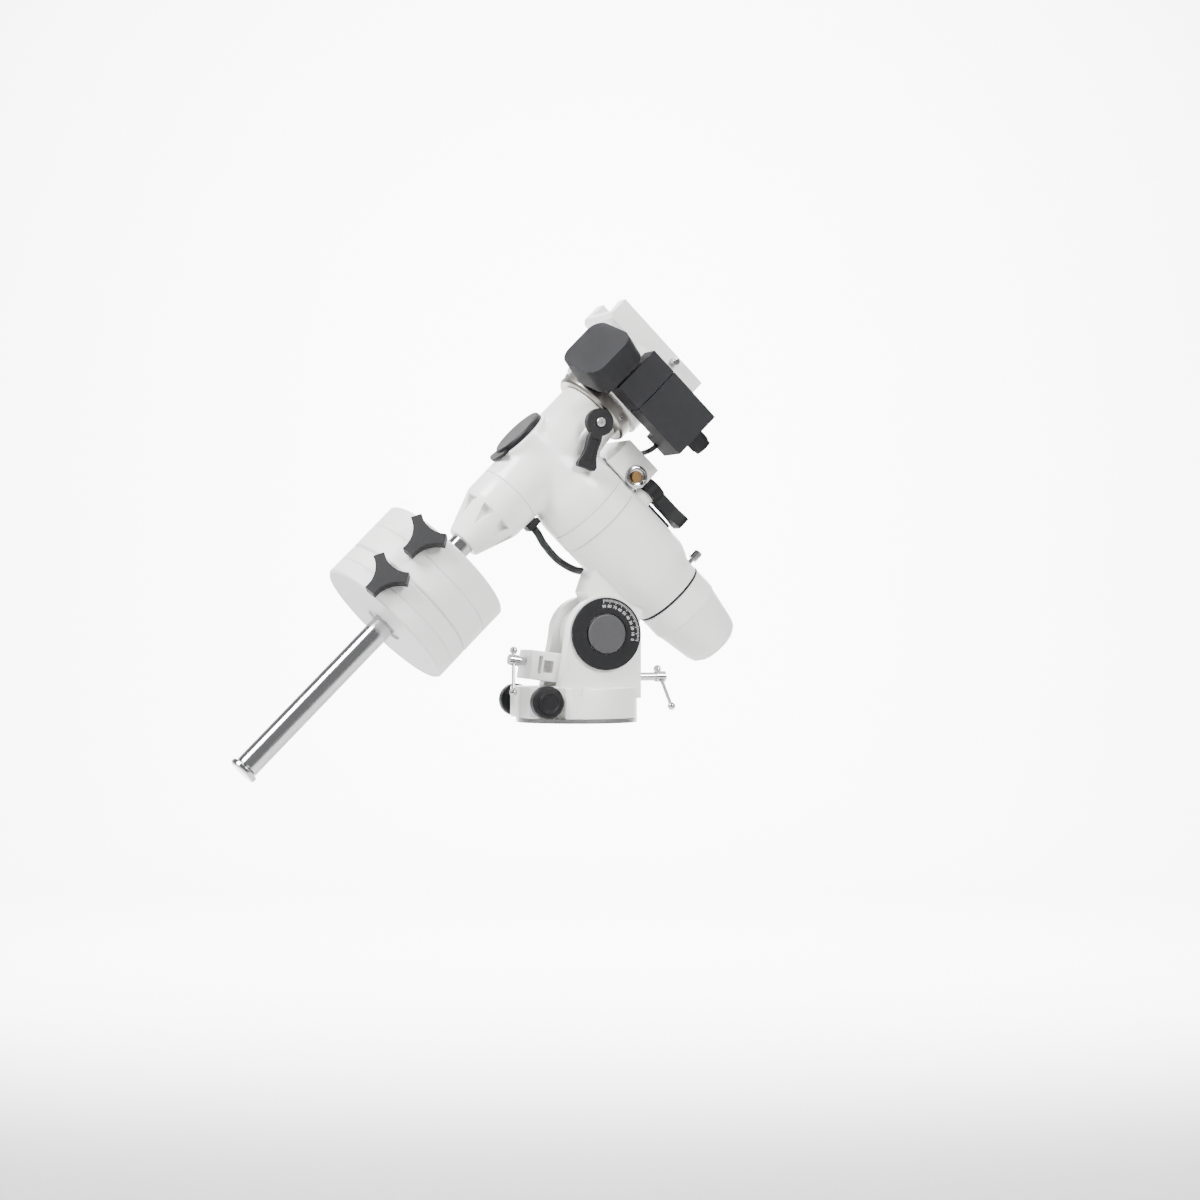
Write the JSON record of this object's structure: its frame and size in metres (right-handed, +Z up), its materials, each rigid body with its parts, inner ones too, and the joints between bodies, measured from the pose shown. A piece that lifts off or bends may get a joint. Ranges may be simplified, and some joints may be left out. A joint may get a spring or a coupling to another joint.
{
  "type": "equatorial telescope mount",
  "caption": "Motorised German equatorial mount head with latitude fork, worm drives on both axes, dovetail saddle and counterweights on a bar.",
  "frame": {"origin": "centre of the underside of the azimuth plate, where the tripod's bolt comes up", "axes": "+Z up along the azimuth axis; the polar axis lies in the XZ plane and leans towards -X; -Y is the near side with the latitude dial"},
  "size_m": [0.4306, 0.1544, 0.3949],
  "materials": {
    "white_paint": "satin",
    "black_plastic": "satin",
    "dark_case": "matte",
    "grey_cap": "matte",
    "chrome": "polished",
    "steel": "satin",
    "aluminium": "brushed",
    "brass": "satin",
    "cable": "satin"
  },
  "bodies": {
    "base": {"azimuth_plate": "steel"},
    "azimuth_head": {"azimuth_fork": "white_paint", "latitude_scale": "black_plastic", "latitude_scale_cap": "grey_cap", "latitude_bolt": "steel"},
    "azimuth_adjuster_near": {"azimuth_knob_near": "black_plastic", "azimuth_screw_near": "steel"},
    "azimuth_adjuster_far": {"azimuth_knob_far": "black_plastic", "azimuth_screw_far": "steel"},
    "altitude_bolt_front": {"altitude_bolt_front": "chrome"},
    "altitude_bolt_rear": {"altitude_bolt_rear": "chrome"},
    "altitude_handle_front": {"altitude_handle_front": "chrome"},
    "altitude_handle_rear": {"altitude_handle_rear": "chrome"},
    "polar_body": {"ra_housing": "white_paint", "ra_worm_housing": "white_paint", "ra_bearing_upper": "brass", "ra_bearing_lower": "brass", "polar_ring": "white_paint", "polar_finder": "black_plastic", "ra_worm_bush": "chrome", "ra_gearbox": "dark_case", "ra_motor_cover": "dark_case", "ra_motor": "steel", "drive_cable": "cable", "dec_drive_lead": "cable"},
    "ra_setting_circle": {"ra_setting_circle": "black_plastic"},
    "ra_lock_screw": {"ra_lock_screw": "chrome"},
    "polar_cover": {"polar_cover": "white_paint"},
    "ra_clutch": {"ra_clutch_lever": "black_plastic", "ra_clutch_screw": "steel"},
    "ra_worm": {"ra_worm": "brass"},
    "ra_body": {"dec_housing": "white_paint", "dec_nose": "white_paint", "ra_shaft": "steel", "ra_worm_wheel": "brass", "dec_bearing_upper": "brass", "dec_bearing_lower": "brass", "dec_worm_housing": "white_paint", "dec_drive_case": "dark_case", "dec_drive_case_end": "dark_case", "dec_motor_bracket": "dark_case", "dec_motor_cover": "dark_case", "dec_motor": "steel", "cable_grommet": "black_plastic"},
    "polar_cap": {"polar_cap": "black_plastic"},
    "dec_clutch": {"dec_clutch_lever": "black_plastic", "dec_clutch_screw": "steel"},
    "dec_setting_circle": {"dec_setting_circle": "aluminium"},
    "dec_worm": {"dec_worm": "brass", "dec_knob": "black_plastic"},
    "dec_body": {"dec_shaft": "steel", "dec_worm_wheel": "brass", "saddle": "white_paint", "counterweight_bar": "chrome", "bar_end_cap": "chrome"},
    "saddle_screw": {"saddle_screw": "chrome"},
    "counterweight_upper": {"counterweight_upper": "white_paint"},
    "counterweight_lower": {"counterweight_lower": "white_paint"},
    "weight_knob_upper": {"weight_knob_upper": "black_plastic"},
    "weight_knob_lower": {"weight_knob_lower": "black_plastic"}
  },
  "joints": [
    {"name": "azimuth", "type": "hinge", "parent": "base", "child": "azimuth_head", "pos_m": [0, 0, 0], "axis": [0, 0, 1], "range_deg": [-8, 8]},
    {"name": "azimuth_screw_near_travel", "type": "slide", "parent": "azimuth_head", "child": "azimuth_adjuster_near", "axis": [0, 1, 0], "range_m": [-0.006, 0.006]},
    {"name": "azimuth_screw_far_travel", "type": "slide", "parent": "azimuth_head", "child": "azimuth_adjuster_far", "axis": [0, 1, 0], "range_m": [-0.006, 0.006]},
    {"name": "altitude", "type": "hinge", "parent": "azimuth_head", "child": "polar_body", "pos_m": [0.0157, 0, 0.0733], "axis": [0, 1, 0], "range_deg": [-8, 20]},
    {"name": "altitude_bolt_front_travel", "type": "slide", "parent": "azimuth_head", "child": "altitude_bolt_front", "axis": [1, 0, 0], "range_m": [-0.0135, 0.006]},
    {"name": "altitude_bolt_rear_travel", "type": "slide", "parent": "azimuth_head", "child": "altitude_bolt_rear", "axis": [0.9903, 0, -0.1392], "range_m": [-0.0115, 0.0048]},
    {"name": "altitude_handle_front_slip", "type": "slide", "parent": "altitude_bolt_front", "child": "altitude_handle_front", "axis": [0, 0.7431, 0.6691], "range_m": [-0.0008, 0.026]},
    {"name": "altitude_handle_rear_slip", "type": "slide", "parent": "altitude_bolt_rear", "child": "altitude_handle_rear", "axis": [0.129, 0.3746, 0.9182], "range_m": [0, 0.019]},
    {"name": "ra_setting_circle_turn", "type": "hinge", "parent": "polar_body", "child": "ra_setting_circle", "pos_m": [0.08162, 0, 0.10668], "axis": [-0.7071, 0, 0.7071], "continuous": true},
    {"name": "ra_lock_screw_turn", "type": "hinge", "parent": "polar_body", "child": "ra_lock_screw", "pos_m": [0.10637, 0, 0.1385], "axis": [0.7071, 0, 0.7071], "range_deg": [-180, 180]},
    {"name": "polar_cover_pull", "type": "slide", "parent": "polar_body", "child": "polar_cover", "axis": [0.7071, 0, -0.7071], "range_m": [0, 0.06]},
    {"name": "ra_clutch_turn", "type": "hinge", "parent": "polar_body", "child": "ra_clutch", "pos_m": [0.06394, 0, 0.19224], "axis": [0.7071, 0, 0.7071], "range_deg": [-25, 25]},
    {"name": "ra_worm_turn", "type": "hinge", "parent": "polar_body", "child": "ra_worm", "pos_m": [0.04393, 0, 0.20335], "axis": [0, 1, 0], "continuous": true},
    {"name": "right_ascension", "type": "hinge", "parent": "polar_body", "child": "ra_body", "pos_m": [-0.0294, 0, 0.2177], "axis": [-0.7071, 0, 0.7071], "continuous": true, "deforming": ["dec_drive_lead", "drive_cable"]},
    {"name": "polar_cap_pull", "type": "slide", "parent": "ra_body", "child": "polar_cap", "axis": [-0.7071, 0, 0.7071], "range_m": [0, 0.04]},
    {"name": "dec_clutch_turn", "type": "hinge", "parent": "ra_body", "child": "dec_clutch", "pos_m": [0.0068, -0.038, 0.2474], "axis": [0, -1, 0], "range_deg": [-25, 25]},
    {"name": "dec_setting_circle_turn", "type": "hinge", "parent": "ra_body", "child": "dec_setting_circle", "pos_m": [0.01656, 0, 0.26366], "axis": [0.7071, 0, 0.7071], "continuous": true},
    {"name": "dec_worm_turn", "type": "hinge", "parent": "ra_body", "child": "dec_worm", "pos_m": [0.03848, -0.043, 0.28558], "axis": [-0.7071, 0, 0.7071], "continuous": true},
    {"name": "declination", "type": "hinge", "parent": "ra_body", "child": "dec_body", "pos_m": [-0.0294, 0, 0.2177], "axis": [0.7071, 0, 0.7071], "continuous": true},
    {"name": "saddle_screw_travel", "type": "slide", "parent": "dec_body", "child": "saddle_screw", "axis": [0, 1, 0], "range_m": [-0.004, 0.0025]},
    {"name": "counterweight_upper_travel", "type": "slide", "parent": "dec_body", "child": "counterweight_upper", "axis": [-0.7071, 0, -0.7071], "range_m": [-0.018, 0]},
    {"name": "counterweight_lower_travel", "type": "slide", "parent": "dec_body", "child": "counterweight_lower", "axis": [-0.7071, 0, -0.7071], "range_m": [0, 0.155]},
    {"name": "weight_knob_upper_turn", "type": "hinge", "parent": "counterweight_upper", "child": "weight_knob_upper", "pos_m": [-0.14955, -0.05871, 0.15146], "axis": [-0.3851, -0.8387, 0.3851], "continuous": true},
    {"name": "weight_knob_lower_turn", "type": "hinge", "parent": "counterweight_lower", "child": "weight_knob_lower", "pos_m": [-0.18056, -0.05871, 0.12046], "axis": [-0.3851, -0.8387, 0.3851], "continuous": true}
  ],
  "couplings": [
    {"joint": "azimuth_screw_near_travel", "follows": "azimuth", "m_per_rad": 0.04},
    {"joint": "azimuth_screw_far_travel", "follows": "azimuth", "m_per_rad": 0.04},
    {"joint": "altitude_bolt_front_travel", "follows": "altitude", "m_per_rad": -0.0363},
    {"joint": "altitude_bolt_rear_travel", "follows": "altitude", "m_per_rad": -0.0306}
  ]
}
